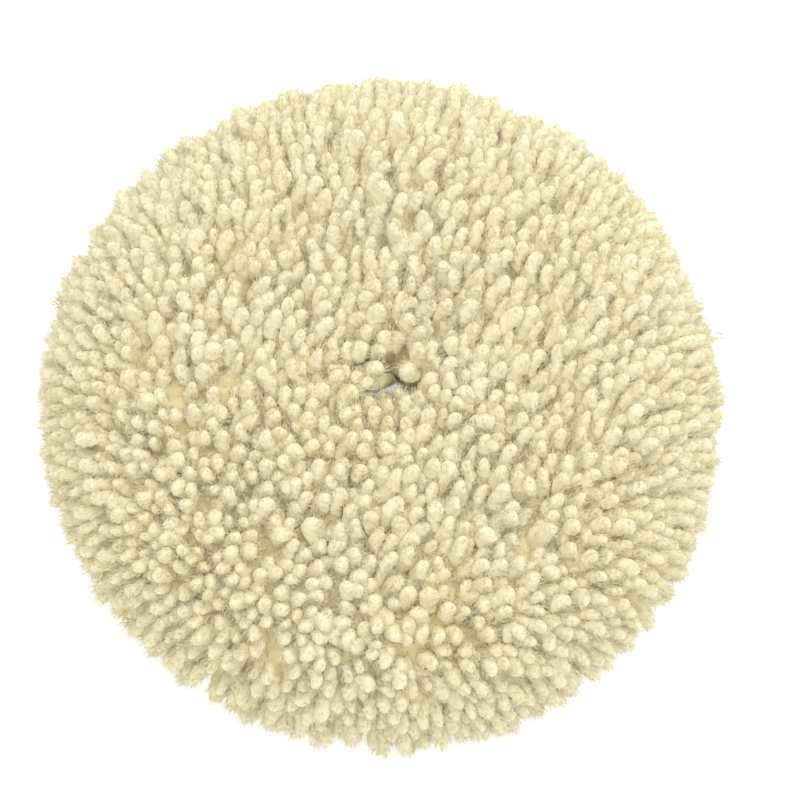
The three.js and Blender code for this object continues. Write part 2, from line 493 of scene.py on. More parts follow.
def tuft_lengths(pile, roots):
    """How long the pile stands at each root before any tuft differs."""
    reach = np.linalg.norm(roots, axis=1)
    dip = np.array([near_hole(each) for each in reach]) * pile.hole_drop
    shorter = pile.rim_shortening * (reach / CANVAS_RADIUS) ** SHORTENING_POWER
    return pile.tuft_length * (1 - shorter) - dip


def place_yarns(pile, paths, shape, draw):
    """Bends a copy of the yarn along each path. Returns the points, tufts by vertices by 3."""
    points, _ = shape
    count = len(paths[0])
    *curve, aside = (part[:, None, :] for part in paths)
    s = points[None, :, 2, None]
    level = np.cross(aside, UPWARDS)
    up = unit(np.cross(curve_heading(s, *curve), level))
    width = pile.yarn_radius * (1 + draw.normal(0, pile.width_spread, count)).clip(*WIDTH_LIMITS)
    turn = draw.uniform(0, 2 * math.pi, count)
    cos, sin = np.cos(turn)[:, None], np.sin(turn)[:, None]
    lumpy = width[:, None] * (1 + draw.normal(0, YARN_LUMPS, (count, len(points))))
    x = (points[None, :, 0] * cos - points[None, :, 1] * sin) * lumpy
    y = (points[None, :, 0] * sin + points[None, :, 1] * cos) * lumpy
    return curve_point(s, *curve) + level * x[..., None] + up * y[..., None], width


class Fibres(NamedTuple):
    """A kind of loose fibre: the share of the yarn where it grows, its lengths and half widths in
    millimetres, how far it heads outwards, and how much its heading scatters."""

    lowest: float
    highest: float
    lengths: tuple
    widths: tuple
    out: tuple = (0, 0)
    scatter: float = 0


STRAY = Fibres(0.5, 1.0, (1.5, 4.2), (0.022, 0.036), (0.3, 1.1), 0.3)
COAT = Fibres(0.5, 0.94, (1.8, 3.8), (0.08, 0.16), (0.15, 0.7))
FRAYED = Fibres(0.9, 1.0, (0.9, 2.1), (0.10, 0.18), (0.1, 0.9), 0.2)
UNDER = Fibres(0.6, 0.86, (2.0, 4.5), (0.12, 0.22), scatter=0.45)
STRAY_ALONG = -0.2, 1.0
STRAY_BOW = 0.15, 0.6
COAT_SIDEWAYS = -0.2, 0.8

FOOT_BIAS = 0.8
FOOT_DEPTH = 0.85
ROUND_FROM, ROUND_OVER = 0.84, 0.16


def fibre_feet(paths, widths, each, kind, draw):
    """Where loose fibres leave the yarns: the owner, the foot, and the ways along and out of it."""
    owner = np.repeat(np.arange(len(widths)), each)
    count = len(owner)
    start = kind.lowest + (kind.highest - kind.lowest) * draw.uniform(0, 1, count) ** FOOT_BIAS
    s = start[:, None]
    *curve, aside = (part[owner] for part in paths)
    along = curve_heading(s, *curve)
    level = np.cross(aside, UPWARDS)
    up = unit(np.cross(level, along))
    turn = draw.uniform(0, 2 * math.pi, count)[:, None]
    out = level * np.cos(turn) + up * np.sin(turn)
    rounding = np.sqrt(1 - ((start - ROUND_FROM) / ROUND_OVER).clip(0, 1) ** 2)
    foot = curve_point(s, *curve) + out * (widths[owner] * FOOT_DEPTH * rounding)[:, None]
    return owner, foot, along, unit(out * rounding[:, None] + along * (1 - rounding)[:, None])


def place_strays(pile, paths, widths, shape, draw):
    """Long loose fibres that leave the yarns' ends and curl away."""
    owner, foot, along, out = fibre_feet(paths, widths, pile.strays, STRAY, draw)
    count = len(owner)
    outwards = out * draw.uniform(*STRAY.out, (count, 1))
    heading = unit(outwards + along * draw.uniform(*STRAY_ALONG, (count, 1)))
    heading = unit(heading + draw.normal(0, STRAY.scatter, (count, 3)))
    long = draw.uniform(*STRAY.lengths, count) * MM
    bow = draw.uniform(*STRAY_BOW, count)
    thick = draw.uniform(*STRAY.widths, count) * MM
    return bend_fibres(shape, foot, heading, draw.normal(0, 1, (count, 3)), long, bow, thick), owner


def place_straight(kind, shape, foot, heading, out, draw, flat=1):
    """Straight fibres of one kind, each of its own length and width."""
    long = draw.uniform(*kind.lengths, len(foot)) * MM
    thick = draw.uniform(*kind.widths, len(foot)) * MM
    return bend_fibres(shape, foot, heading, out, long, np.zeros(len(foot)), thick, flat)


def place_coat(pile, paths, widths, shape, draw):
    """The wisps of short fibres that lie along the yarns and stand a little proud of them."""
    owner, foot, along, out = fibre_feet(paths, widths, pile.coat, COAT, draw)
    sideways = np.cross(along, out) * draw.uniform(*COAT_SIDEWAYS, (len(owner), 1))
    heading = unit(along + sideways + out * draw.uniform(*COAT.out, (len(owner), 1)))
    return place_straight(COAT, shape, foot, heading, out, draw), owner


def place_frayed_ends(pile, paths, widths, shape, draw):
    """The fibres that spread from each yarn's cut end."""
    owner, foot, along, out = fibre_feet(paths, widths, pile.frayed, FRAYED, draw)
    outwards = out * draw.uniform(*FRAYED.out, (len(owner), 1))
    heading = unit(along + outwards + draw.normal(0, FRAYED.scatter, (len(owner), 3)))
    return place_straight(FRAYED, shape, foot, heading, out, draw), owner


UNDER_SPREAD = 1.8 * MM
UNDER_WIDTH = 1.5 * MM
UNDER_FLATNESS = 0.4


def place_under_wool(pile, low, end, shape, draw):
    """Wisps that stand between the yarns."""
    spread = draw.normal(0, UNDER_SPREAD, low.shape) * (1, 1, 0)
    paths = bent_paths(low + spread, end + spread)
    widths = np.full(len(low), UNDER_WIDTH)
    owner, foot, along, out = fibre_feet(paths, widths, pile.under, UNDER, draw)
    heading = unit(along + draw.normal(0, UNDER.scatter, (len(owner), 3)))
    return place_straight(UNDER, shape, foot, heading, out, draw, UNDER_FLATNESS), owner


def bend_fibres(shape, foot, heading, facing, long, bow, thick, flat=1):
    """Copies of a fibre from each foot along each heading, bowed and flattened towards the way they
    face."""
    points = shape[0]
    side = unit(np.cross(heading, facing))
    curl = np.cross(side, heading)[:, None, :]
    side, heading = side[:, None, :], heading[:, None, :]
    long, bow, thick = long[:, None, None], bow[:, None, None], thick[:, None, None]
    x, y, z = (points[None, :, axis, None] for axis in range(3))
    centre = foot[:, None, :] + heading * z * long + curl * z**2 * bow * long
    return centre + (side * x - curl * y * flat) * thick


BED_OVERLAP = 0.1
BED_LUMP_SIZE = 3 * MM
BED_LUMPS = 0.09
BED_SINK = 0.75


def place_bed(pile, name):
    """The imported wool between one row's yarns, bent as the yarns are."""
    near, far = row_sides(name, pile.row_turn)
    points, faces = model_bed(near[1] - near[0])
    sideways = (1 + 2 * BED_OVERLAP) * points[:, 1] - BED_OVERLAP
    start, end, across = (low + (high - low) * sideways for low, high in zip(near, far))
    along = start + (end - start) * points[:, 0]
    roots = np.column_stack(turned(along, across, pile.row_turn))
    leans = np.array([nap_lean_at(pile, x, y)[:2] for x, y in roots])
    *curve, _ = bent_paths(*tuft_chords(roots, leans, tuft_lengths(pile, roots)))
    lumps = np.array([noise.noise(Vector((x, y, 0)) / BED_LUMP_SIZE) for x, y in roots])[:, None]
    sunk = 1 - BED_SINK * np.array([near_hole(math.hypot(x, y)) for x, y in roots])[:, None]
    s = points[:, 2:3] * (pile.bed_share + BED_LUMPS * lumps) * sunk
    return curve_point(s, *curve), faces, roots


def make_mesh_piece(name, points, corners, sizes):
    mesh = bpy.data.meshes.new(name)
    mesh.vertices.add(len(points))
    mesh.vertices.foreach_set("co", points.astype(np.float32).ravel())
    mesh.loops.add(len(corners))
    mesh.loops.foreach_set("vertex_index", corners.astype(np.int32))
    mesh.polygons.add(len(sizes))
    mesh.polygons.foreach_set("loop_start", (np.cumsum(sizes) - sizes).astype(np.int32))
    mesh.update(calc_edges=True)
    mesh.polygons.foreach_set("use_smooth", np.ones(len(sizes), bool))
    piece = bpy.data.objects.new(name, mesh)
    bpy.context.collection.objects.link(piece)
    return piece


def add_tones(mesh, tones):
    """Stores each point's tone: its yarn's own shade, its share along the yarn, its patch's shade."""
    attribute = mesh.color_attributes.new("tone", "FLOAT_COLOR", "POINT")
    rgba = np.column_stack([tones, np.ones(len(tones))]).astype(np.float32)
    attribute.data.foreach_set("color", rgba.ravel())


def add_yarn_map(mesh, around, along):
    """Stores a map that runs round and along each yarn, so that the fibres' grain follows its twist."""
    layer = mesh.uv_layers.new(name="yarn")
    corners = np.empty(len(mesh.loops), np.int32)
    mesh.loops.foreach_get("vertex_index", corners)
    places = np.column_stack([around[corners], along[corners]])
    layer.data.foreach_set("uv", places.astype(np.float32).ravel())


class Piece:
    """Gathers copies of shapes, with each point's tone and place on the yarn, into one mesh."""

    def __init__(self, lowest=LOWEST):
        self.lowest = lowest
        self.points, self.corners, self.sizes, self.tones, self.map = [], [], [], [], []
        self.count = 0

    def add(self, points, faces, own, rise, patch, around):
        """points is copies by points by 3; tones and map may be one value for each copy or point."""
        copies, each = points.shape[:2]
        corners = np.array([corner for face in faces for corner in face])
        firsts = self.count + each * np.arange(copies)[:, None]
        self.corners.append((corners + firsts).ravel())
        self.sizes.append(np.tile([len(face) for face in faces], copies))
        self.points.append(np.maximum(points.reshape(-1, 3), (-1, -1, self.lowest)))
        own, rise, patch, around = (
            np.broadcast_to(value, (copies, each)).ravel() for value in (own, rise, patch, around)
        )
        self.tones.append(np.column_stack([own, rise, patch]))
        self.map.append(np.column_stack([around, rise]))
        self.count += copies * each

    def finish(self, name):
        corners, sizes = np.concatenate(self.corners), np.concatenate(self.sizes)
        piece = make_mesh_piece(name, np.vstack(self.points), corners, sizes)
        add_tones(piece.data, np.vstack(self.tones))
        add_yarn_map(piece.data, *np.vstack(self.map).T)
        return piece


PATCH_SIZE = 30 * MM


def patch_shade(places):
    """A slow change of shade over the pad."""
    return np.array([noise.noise(Vector((x, y, 0)) / PATCH_SIZE) for x, y in places]) * 0.5 + 0.5


FALLEN_REACH = 15 * MM
FALLEN_ARC = math.radians(20)
FALLEN_SPREAD = math.radians(12)


def plan_tufts(pile, draw):
    """The root and end of every tuft of the pad, and which row each belongs to."""
    clumps = clump_centres(pile, draw)
    rows = [row_roots(pile, name, draw) for name in ROW_NODES]
    owner = np.repeat(np.arange(len(rows)), [len(row) for row in rows])
    roots = np.vstack(rows)
    leans = np.array([tuft_lean_at(pile, x, y, clumps, draw)[:2] for x, y in roots])
    beside = np.abs(np.arctan2(roots[:, 1], roots[:, 0])) < FALLEN_ARC
    fallen = beside & (np.linalg.norm(roots, axis=1) < FALLEN_REACH)
    spread = draw.normal(0, FALLEN_SPREAD, (fallen.sum(), 2))
    leans[fallen] = -unit(roots[fallen]) * pile.fallen_lean + spread
    lengths = tuft_lengths(pile, roots) * (1 + draw.normal(0, pile.length_spread, len(roots)))
    low, end = tuft_chords(roots, leans, lengths)
    return low, settle(low, end, pile.head_gap), owner


WANDER_SHAPE = 1, 1, 0.3
# Where the fibres and the bed sit on the wool's colour ramp: the lower, the darker and yellower. The
# under wool and the bed between the yarns take low places, which paints shade into the gaps.
COAT_RISE = 0.9
UNDER_RISE = 0.7
BED_SHADE_OWN, BED_SHADE_RISE = 0.2, 0.3
BED_MAP_SIZE = 4 * MM
MAP_SPREAD = 10


def plant_row(pile, name, low, end, shapes, wool, draw):
    """One row as one piece: the tufts that one needle sewed, their loose fibres and packed wool."""
    yarn, coat, stray = shapes
    paths = bent_paths(low, end, draw.normal(0, 1, low.shape) * WANDER_SHAPE * pile.wander)
    yarns, widths = place_yarns(pile, paths, yarn, draw)
    own, patch = draw.uniform(0, 1, len(low)), patch_shade(low[:, :2])
    rise = yarn[0][:, 2]
    around = (np.arctan2(yarn[0][:, 1], yarn[0][:, 0]) - rise * YARN_TWIST) / (2 * math.pi) % 1
    around = around + draw.uniform(0, MAP_SPREAD, (len(low), 1))
    piece = Piece()
    piece.add(yarns, yarn[1], own[:, None], rise, patch[:, None], around)
    for place, shape in ((place_coat, coat), (place_frayed_ends, coat), (place_strays, stray)):
        fibres, owner = place(pile, paths, widths, shape, draw)
        piece.add(fibres, shape[1], own[owner, None], COAT_RISE, patch[owner, None], 0.0)
    fibres, owner = place_under_wool(pile, low, end, coat, draw)
    piece.add(fibres, coat[1], own[owner, None], UNDER_RISE, patch[owner, None], 0.0)
    bed, faces, roots = place_bed(pile, name)
    # The bed takes a low tone and rise: painted shade at the bottom of the gaps.
    piece.add(bed[None], faces, BED_SHADE_OWN, BED_SHADE_RISE, patch_shade(roots)[None], roots[:, 0] / BED_MAP_SIZE)
    made = piece.finish(name.replace("wool_row", "wool_tufts"))
    made.data.materials.append(wool)
    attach(made, BODY)
    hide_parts(name)


# ---------------------------------------------------------------- backing

RING_STEPS = 144
ROUNDING_STEPS = 4


def ring_room(name):
    """The room of a ring-shaped CAD node: inner and outer radius, lowest and highest level."""
    x, y, z = mesh_points(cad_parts[name].data).T
    reach = np.hypot(x, y)
    return reach.min(), reach.max(), z.min(), z.max()


def model_ring(name, room, rounding, cuts=0):
    """A flat ring with rounded edges: its section is drawn beside the axis and spun about it."""
    inner, outer, low, high = room
    deselect_everything()
    bpy.ops.mesh.primitive_plane_add(size=1)
    ring = bpy.context.object
    ring.name = ring.data.name = name
    edit_all()
    bpy.ops.transform.rotate(value=math.pi / 2, orient_axis="X", center_override=(0, 0, 0))
    bpy.ops.transform.resize(value=(outer - inner, 1, high - low), center_override=(0, 0, 0))
    bpy.ops.transform.translate(value=((inner + outer) / 2, 0, (low + high) / 2))
    bpy.ops.mesh.bevel(offset=rounding, segments=ROUNDING_STEPS, affect="VERTICES")
    bpy.ops.mesh.select_all(action="SELECT")
    bpy.ops.mesh.delete(type="ONLY_FACE")
    bpy.ops.mesh.select_all(action="SELECT")
    if cuts:
        bpy.ops.mesh.subdivide(number_cuts=cuts)
    bpy.ops.mesh.spin(steps=RING_STEPS, angle=2 * math.pi, center=(0, 0, 0), axis=(0, 0, 1))
    bpy.ops.mesh.select_all(action="SELECT")
    bpy.ops.mesh.remove_doubles(threshold=SAME_POINT)
    finish_editing()
    bpy.ops.object.shade_smooth()
    return ring


def waver_edges(ring, room, amount, size):
    """Lets a ring's rims run in and out a little, as cut and glued layers' rims do."""
    inner, outer = room[:2]
    for vertex in ring.data.vertices:
        place = vertex.co
        reach = math.hypot(place.x, place.y)
        at_rim = max(0.0, (reach - inner) / (outer - inner) * 2 - 1)
        drift = noise.noise(Vector((place.x, place.y, 0.3 * place.z)) / size)
        grown = 1 + amount * drift * at_rim / reach
        place.x, place.y = place.x * grown, place.y * grown


LOOP_SIDES = 3
LOOP_STEPS = 6


def model_loop(backing):
    """One loop of the fastening face: a thin yarn's section spun half a turn, into a hanging arch."""
    deselect_everything()
    wide = backing.loop_width / 2
    bpy.ops.mesh.primitive_circle_add(
        vertices=LOOP_SIDES, radius=backing.loop_yarn, location=(wide, 0, 0)
    )
    loop = bpy.context.object
    bpy.ops.object.transform_apply(location=True)
    edit_all()
    bpy.ops.mesh.spin(steps=LOOP_STEPS, angle=-math.pi, center=(0, 0, 0), axis=(0, 1, 0))
    bpy.ops.mesh.select_all(action="SELECT")
    bpy.ops.mesh.remove_doubles(threshold=SAME_POINT)
    bpy.ops.mesh.fill_holes(sides=0)
    finish_editing()
    return take_shape(loop)


LOOP_JITTER = 0.35
LOOP_MARGIN = 0.3
LOOP_SIZES = 0.8, 1.15
LOOP_TIPPING = 0.45
LOOP_DROP = 0.86
LOOP_SUNK = 0.1 * MM
LOOP_CLEAR = 0.02 * MM


def place_loops(backing, room, shape, draw):
    """Copies of the loop all over a ring's underside, each turned and tipped its own way."""
    inner, outer, low, high = room
    pitch = backing.loop_pitch
    reach = math.ceil(outer / pitch)
    span = range(-reach, reach + 1)
    feet = np.array([(i, j) for i in span for j in span]) * pitch
    feet = feet + draw.uniform(-LOOP_JITTER, LOOP_JITTER, feet.shape) * pitch
    away = np.linalg.norm(feet, axis=1)
    margin = LOOP_MARGIN * backing.loop_width
    feet = feet[(away > inner + backing.loop_width) & (away < outer - margin)]
    count = len(feet)
    turn = draw.uniform(0, 2 * math.pi, (count, 1))
    size = draw.uniform(*LOOP_SIZES, (count, 1))
    tip = draw.normal(0, LOOP_TIPPING, (count, 1))
    x, y, z = shape[0].T
    tall = (high - backing.ground - low) / (backing.loop_width / 2) * LOOP_DROP
    hang = z * size * tall
    across = y + hang * tip
    placed = np.stack(
        [
            feet[:, :1] + x * size * np.cos(turn) - across * np.sin(turn),
            feet[:, 1:] + x * size * np.sin(turn) + across * np.cos(turn),
            high - backing.ground + LOOP_SUNK + hang,
        ],
        axis=-1,
    )
    placed[..., 2] = np.maximum(placed[..., 2], low + LOOP_CLEAR)
    return placed


THREAD_SIDES = 5
THREAD_STEPS = 8


def model_thread():
    """A thread, a unit long and a unit in radius, open at both ends, where the next stitch goes on."""
    deselect_everything()
    bpy.ops.mesh.primitive_circle_add(vertices=THREAD_SIDES, radius=1)
    thread = bpy.context.object
    edit_all()
    for _ in range(THREAD_STEPS):
        extrude((0, 0, 1 / THREAD_STEPS))
    finish_editing()
    return take_shape(thread)


STITCH_PROUD = 0.2 * MM
LOCK_PROUD = 0.1 * MM
LOCK_SWING = 0.6


def wind_stitches(backing, room, shape, outward):
    """Copies of the thread wound round a ring's edge, one turn for each stitch, and a second thread
    that zigzags along the edge and locks them."""
    inner, outer, low, high = room
    edge = inner if outward > 0 else outer
    middle, deep, tall = (low + high) / 2, outer - inner, (high - low) / 2 + STITCH_PROUD
    count = round(2 * math.pi * edge / backing.overlock)
    x, y, z = shape[0].T
    turn = 2 * math.pi * (np.arange(count)[:, None] + z) / count
    wind = 2 * math.pi * z
    thick = backing.thread_radius

    cos, sin = np.cos(turn), np.sin(turn)

    def placed(reach, level):
        return np.stack([reach * cos, reach * sin, np.broadcast_to(level, turn.shape)], axis=-1)

    sideways = np.stack([-sin, cos, np.zeros(turn.shape)], axis=-1)
    beside = sideways * (y * thick)[None, :, None]
    round_reach = edge + outward * (deep - thick) * np.cos(wind) + np.cos(wind) * x * thick * outward
    round_level = middle + tall * np.sin(wind) + np.sin(wind) * x * thick
    zig_reach = edge + outward * (deep + LOCK_PROUD) + x * thick
    zig_level = middle + LOCK_SWING * tall * np.sin(wind) + y * thick
    return placed(round_reach, round_level) + beside, placed(zig_reach, zig_level)


def join_stitches(piece):
    """Makes stitches that meet end to end one thread."""
    deselect_everything()
    bpy.context.view_layer.objects.active = piece
    piece.select_set(True)
    edit_all()
    bpy.ops.mesh.remove_doubles(threshold=SAME_POINT)
    finish_editing()


def stand_for(piece, node, material):
    """Makes a finished piece stand for its CAD node."""
    if not piece.data.polygons:
        raise RuntimeError(f"{piece.name} has no faces")
    piece.data.materials.append(material)
    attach(piece, BODY)
    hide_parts(node)
    return piece


def gather(name, parts):
    """Copies of shapes, given as (points, faces) pairs, as one mesh."""
    piece = Piece(lowest=0.0)
    for points, faces, around, rise in parts:
        piece.add(points, faces, 0.5, rise, 0.5, around)
    return piece.finish(name)


# ---------------------------------------------------------------- materials


class Nodes:
    """Short calls for building a material's node tree."""

    def __init__(self, name):
        self.material = bpy.data.materials.new(name)
        self.material.use_nodes = True
        self.tree = self.material.node_tree
        self.shader = self.tree.nodes["Principled BSDF"]

    def add(self, kind, **values):
        node = self.tree.nodes.new(kind)
        for key, value in values.items():
            setattr(node, key, value)
        return node

    def link(self, source, target):
        self.tree.links.new(source, target)

    def set(self, **values):
        for key, value in values.items():
            socket = key.replace("_", " ").title().replace("Ior", "IOR")
            self.shader.inputs[socket].default_value = value

    def place(self):
        return self.add("ShaderNodeTexCoord").outputs["Object"]

    def paint(self, source):
        self.link(source, self.shader.inputs["Base Color"])

    def noise(self, vector, scale, detail=3.0, roughness=0.55):
        node = self.add("ShaderNodeTexNoise")
        node.inputs["Scale"].default_value = scale
        node.inputs["Detail"].default_value = detail
        node.inputs["Roughness"].default_value = roughness
        self.link(vector, node.inputs["Vector"])
        return node.outputs["Fac"]

    def cells(self, vector, scale):
        node = self.add("ShaderNodeTexVoronoi", feature="F1")
        node.inputs["Scale"].default_value = scale
        self.link(vector, node.inputs["Vector"])
        return node.outputs["Distance"]

    def math(self, operation, a, b=None, c=None):
        node = self.add("ShaderNodeMath", operation=operation)
        for socket, value in zip(node.inputs, (a, b, c)):
            if value is None:
                continue
            if hasattr(value, "is_output"):
                self.link(value, socket)
            else:
                socket.default_value = value
        return node.outputs[0]

    def ramp(self, value, stops):
        node = self.add("ShaderNodeValToRGB")
        first, *others = stops
        node.color_ramp.elements[0].position = first[0]
        node.color_ramp.elements[0].color = (*first[1], 1)
        node.color_ramp.elements[1].position = others[-1][0]
        node.color_ramp.elements[1].color = (*others[-1][1], 1)
        for place, tint in others[:-1]:
            node.color_ramp.elements.new(place).color = (*tint, 1)
        self.link(value, node.inputs["Fac"])
        return node.outputs["Color"]

    def times(self, a, b):
        """One colour multiplied by another."""
        node = self.add("ShaderNodeMix", data_type="RGBA", blend_type="MULTIPLY")
        node.inputs["Factor"].default_value = 1.0
        self.link(a, node.inputs[6])
        self.link(b, node.inputs[7])
        return node.outputs[2]

    def bump(self, height, strength, distance):
        node = self.add("ShaderNodeBump")
        node.inputs["Strength"].default_value = strength
        node.inputs["Distance"].default_value = distance
        self.link(height, node.inputs["Height"])
        self.link(node.outputs["Normal"], self.shader.inputs["Normal"])


WHITE = 1.0, 1.0, 1.0


def wool_material(pile):
    """Cream wool: darker and yellower down in the pile, as painted shade for the gaps between the yarns;
    each yarn its own tone, its grain along the twist.
    """
    nodes = Nodes("wool_yarn")
    tone = nodes.add("ShaderNodeAttribute", attribute_name="tone")
    parts = nodes.add("ShaderNodeSeparateColor")
    nodes.link(tone.outputs["Color"], parts.inputs["Color"])
    own, rise, patch = parts.outputs
    tip, root = tuple(pile.tip_colour), tuple(pile.root_shade_colour)
    middle = tuple(0.35 * low + 0.65 * high for low, high in zip(root, tip))
    # From the root colour, painted shade down in the pile, to the tip colour.
    base = nodes.ramp(rise, [(0.25, root), (0.62, middle), (0.92, tip)])
    shade = nodes.ramp(own, [(0.0, (0.95, 0.93, 0.87)), (0.5, (0.985, 0.98, 0.96)), (1.0, WHITE)])
    cast = nodes.ramp(patch, [(0.2, (0.98, 0.97, 0.90)), (0.8, WHITE)])
    base = nodes.times(nodes.times(base, shade), cast)
    yarn_map = nodes.add("ShaderNodeUVMap", uv_map="yarn")
    stretch = nodes.add("ShaderNodeMapping")
    stretch.inputs["Scale"].default_value = (26, 5, 1)
    nodes.link(yarn_map.outputs["UV"], stretch.inputs["Vector"])
    grain = nodes.noise(stretch.outputs["Vector"], 1.0, 4.0, 0.6)
    nodes.paint(nodes.times(base, nodes.ramp(grain, [(0.36, (0.93, 0.915, 0.85)), (0.6, WHITE)])))
    nodes.bump(nodes.noise(nodes.place(), 900, 4.0), 0.5, 0.3 * MM)
    nodes.set(roughness=0.85, specular_ior_level=0.25, sheen_weight=0.25, sheen_roughness=0.5)
    nodes.shader.inputs["Sheen Tint"].default_value = (1.0, 0.96, 0.84, 1)
    return nodes.material


# A tint darkened by a factor. The materials below use it as painted shade in the low places of their bump
# patterns: the foam's cell hollows, the canvas where a thread dips under another, the thread's grooves,
# the loops' fine dips and the glue between its swells.
def shaded(tint, by):
    return tuple(by * part for part in tint)


def foam_material(backing):
    """Closed-cell foam: fine round cells, cut open at the surface, with slow yellowing."""
    nodes = Nodes("closed_cell_foam")
    place = nodes.place()
    cells = nodes.cells(place, 1 / backing.foam_cell)
    fine = nodes.cells(place, 2.7 / backing.foam_cell)
    height = nodes.math("ADD", cells, nodes.math("MULTIPLY", fine, 0.4))
    tint = tuple(backing.foam_colour)
    base = nodes.ramp(height, [(0.15, shaded(tint, 0.72)), (0.55, shaded(tint, 0.94)), (0.9, tint)])
    age = nodes.ramp(nodes.noise(place, 25), [(0.3, (1.0, 0.96, 0.86)), (0.7, WHITE)])
    nodes.paint(nodes.times(base, age))
    nodes.bump(height, 0.7, 0.25 * MM)
    nodes.set(roughness=0.92, specular_ior_level=0.3)
    return nodes.material


def canvas_material(backing):
    """Plain-woven cotton: slubbed round threads that pass over and under one another."""
    nodes = Nodes("woven_canvas")
    place = nodes.place()
    split = nodes.add("ShaderNodeSeparateXYZ")
    nodes.link(place, split.inputs["Vector"])
    turns = math.pi / backing.weave
    waves = (nodes.math("MULTIPLY", split.outputs[axis], turns) for axis in "XY")
    warp, weft = (nodes.math("SINE", wave) for wave in waves)
    over = nodes.math("GREATER_THAN", nodes.math("MULTIPLY", warp, weft), 0.0)
    warp, weft = nodes.math("ABSOLUTE", warp), nodes.math("ABSOLUTE", weft)
    height = nodes.math("MULTIPLY_ADD", over, nodes.math("SUBTRACT", warp, weft), weft)
    slub = nodes.noise(place, 700, 4.0)
    height = nodes.math("MULTIPLY_ADD", slub, 0.5, height)
    tint = tuple(backing.canvas_colour)
    nodes.paint(nodes.ramp(height, [(0.2, shaded(tint, 0.55)), (0.8, shaded(tint, 0.92)), (1.0, tint)]))
    nodes.bump(height, 0.8, 0.3 * MM)
    nodes.set(roughness=0.95, specular_ior_level=0.2, sheen_weight=0.2)
    return nodes.material


def thread_material(backing):
    """Twisted cotton thread: strands that run slanting round it, with a little fuzz."""
    nodes = Nodes("binding_thread")
    yarn_map = nodes.add("ShaderNodeUVMap", uv_map="yarn")
    split = nodes.add("ShaderNodeSeparateXYZ")
    nodes.link(yarn_map.outputs["UV"], split.inputs["Vector"])
    slant = nodes.math("MULTIPLY_ADD", split.outputs["Y"], 7.0, split.outputs["X"])
    strand = nodes.math("SINE", nodes.math("MULTIPLY", slant, 4 * math.pi))
    fuzz = nodes.noise(nodes.place(), 2500, 3.0)
    height = nodes.math("MULTIPLY_ADD", strand, 0.35, fuzz)
    tint = tuple(backing.thread_colour)
    nodes.paint(nodes.ramp(height, [(0.1, shaded(tint, 0.7)), (0.7, tint)]))
    nodes.bump(height, 0.6, 0.1 * MM)
    nodes.set(roughness=0.8, specular_ior_level=0.3, sheen_weight=0.2)
    return nodes.material


def loop_material(backing):
    """Brushed synthetic loops: pale, faintly shiny filaments with grey lint in them."""
    nodes = Nodes("loop_fabric")
    place = nodes.place()
    filaments = nodes.noise(place, 3200, 2.0)
    tint = tuple(backing.loop_colour)
    base = nodes.ramp(filaments, [(0.3, shaded(tint, 0.78)), (0.65, tint)])
    lint = nodes.ramp(nodes.noise(place, 90), [(0.3, (0.93, 0.92, 0.90)), (0.6, WHITE)])
    nodes.paint(nodes.times(base, lint))
    nodes.bump(filaments, 0.5, 0.08 * MM)
    nodes.set(roughness=0.55, specular_ior_level=0.45, sheen_weight=0.3)
    return nodes.material


def glue_material(name, tint, roughness, size):
    """A dried coat of glue or latex: smooth swells and small bubbles, with painted shade darker between
    the swells.
    """
    nodes = Nodes(name)
    place = nodes.place()
    swells = nodes.noise(place, 1 / size, 3.0)
    bubbles = nodes.cells(place, 4 / size)
    height = nodes.math("MULTIPLY_ADD", bubbles, 0.3, swells)
    nodes.paint(nodes.ramp(swells, [(0.3, shaded(tint, 0.84)), (0.7, tint)]))
    nodes.bump(height, 0.5, 0.15 * MM)
    nodes.set(roughness=roughness, specular_ior_level=0.5)
    return nodes.material


# ---------------------------------------------------------------- operators


class WOOLPAD_OT_pile(bpy.types.Operator):
    """Plants every tufting row of the cut pile, one piece for each row"""

    bl_idname = "woolpad.pile"
    bl_label = "Plant Wool Pile"

    def execute(self, context):
        pile = context.scene.wool_pad_pile
        draw = np.random.default_rng(pile.seed)
        noise.seed_set(pile.seed)
        shapes = model_yarn(), model_coat_fibre(), model_stray()
        low, end, owner = plan_tufts(pile, draw)
        wool = wool_material(pile)
        for index, name in enumerate(ROW_NODES):
            plant_row(pile, name, low[owner == index], end[owner == index], shapes, wool, draw)
        return {"FINISHED"}


LOOP_SEED = 11
GROUND_ROUNDING = 0.2 * MM
GROUND_WAVER = 9 * MM


class WOOLPAD_OT_loop_fabric(bpy.types.Operator):
    """Lays the fastening fabric: a knitted ground whose loops hang from its underside"""

    bl_idname = "woolpad.loop_fabric"
    bl_label = "Lay Loop Fabric"

    def execute(self, context):
        backing = context.scene.wool_pad_backing
        draw = np.random.default_rng(LOOP_SEED)
        room = ring_room("loop_fabric")
        inner, outer, _, high = room
        ground_room = inner, outer, high - backing.ground, high
        ground = model_ring("loop_ground", ground_room, GROUND_ROUNDING)
        waver_edges(ground, room, backing.waver, GROUND_WAVER)
        points, faces = take_shape(ground)
        loop = model_loop(backing)
        loops = place_loops(backing, room, loop, draw)
        around, rise = loop[0][:, 0] / backing.loop_width, loop[0][:, 2] / MM
        parts = [(points[None], faces, 0.0, 0.0), (loops, loop[1], around, rise)]
        fabric = gather("fastening_fabric", parts)
        stand_for(fabric, "loop_fabric", loop_material(backing))
        return {"FINISHED"}


FOAM_CUTS = 2
FOAM_WAVER, FOAM_WAVER_SIZE = 1.5, 14 * MM


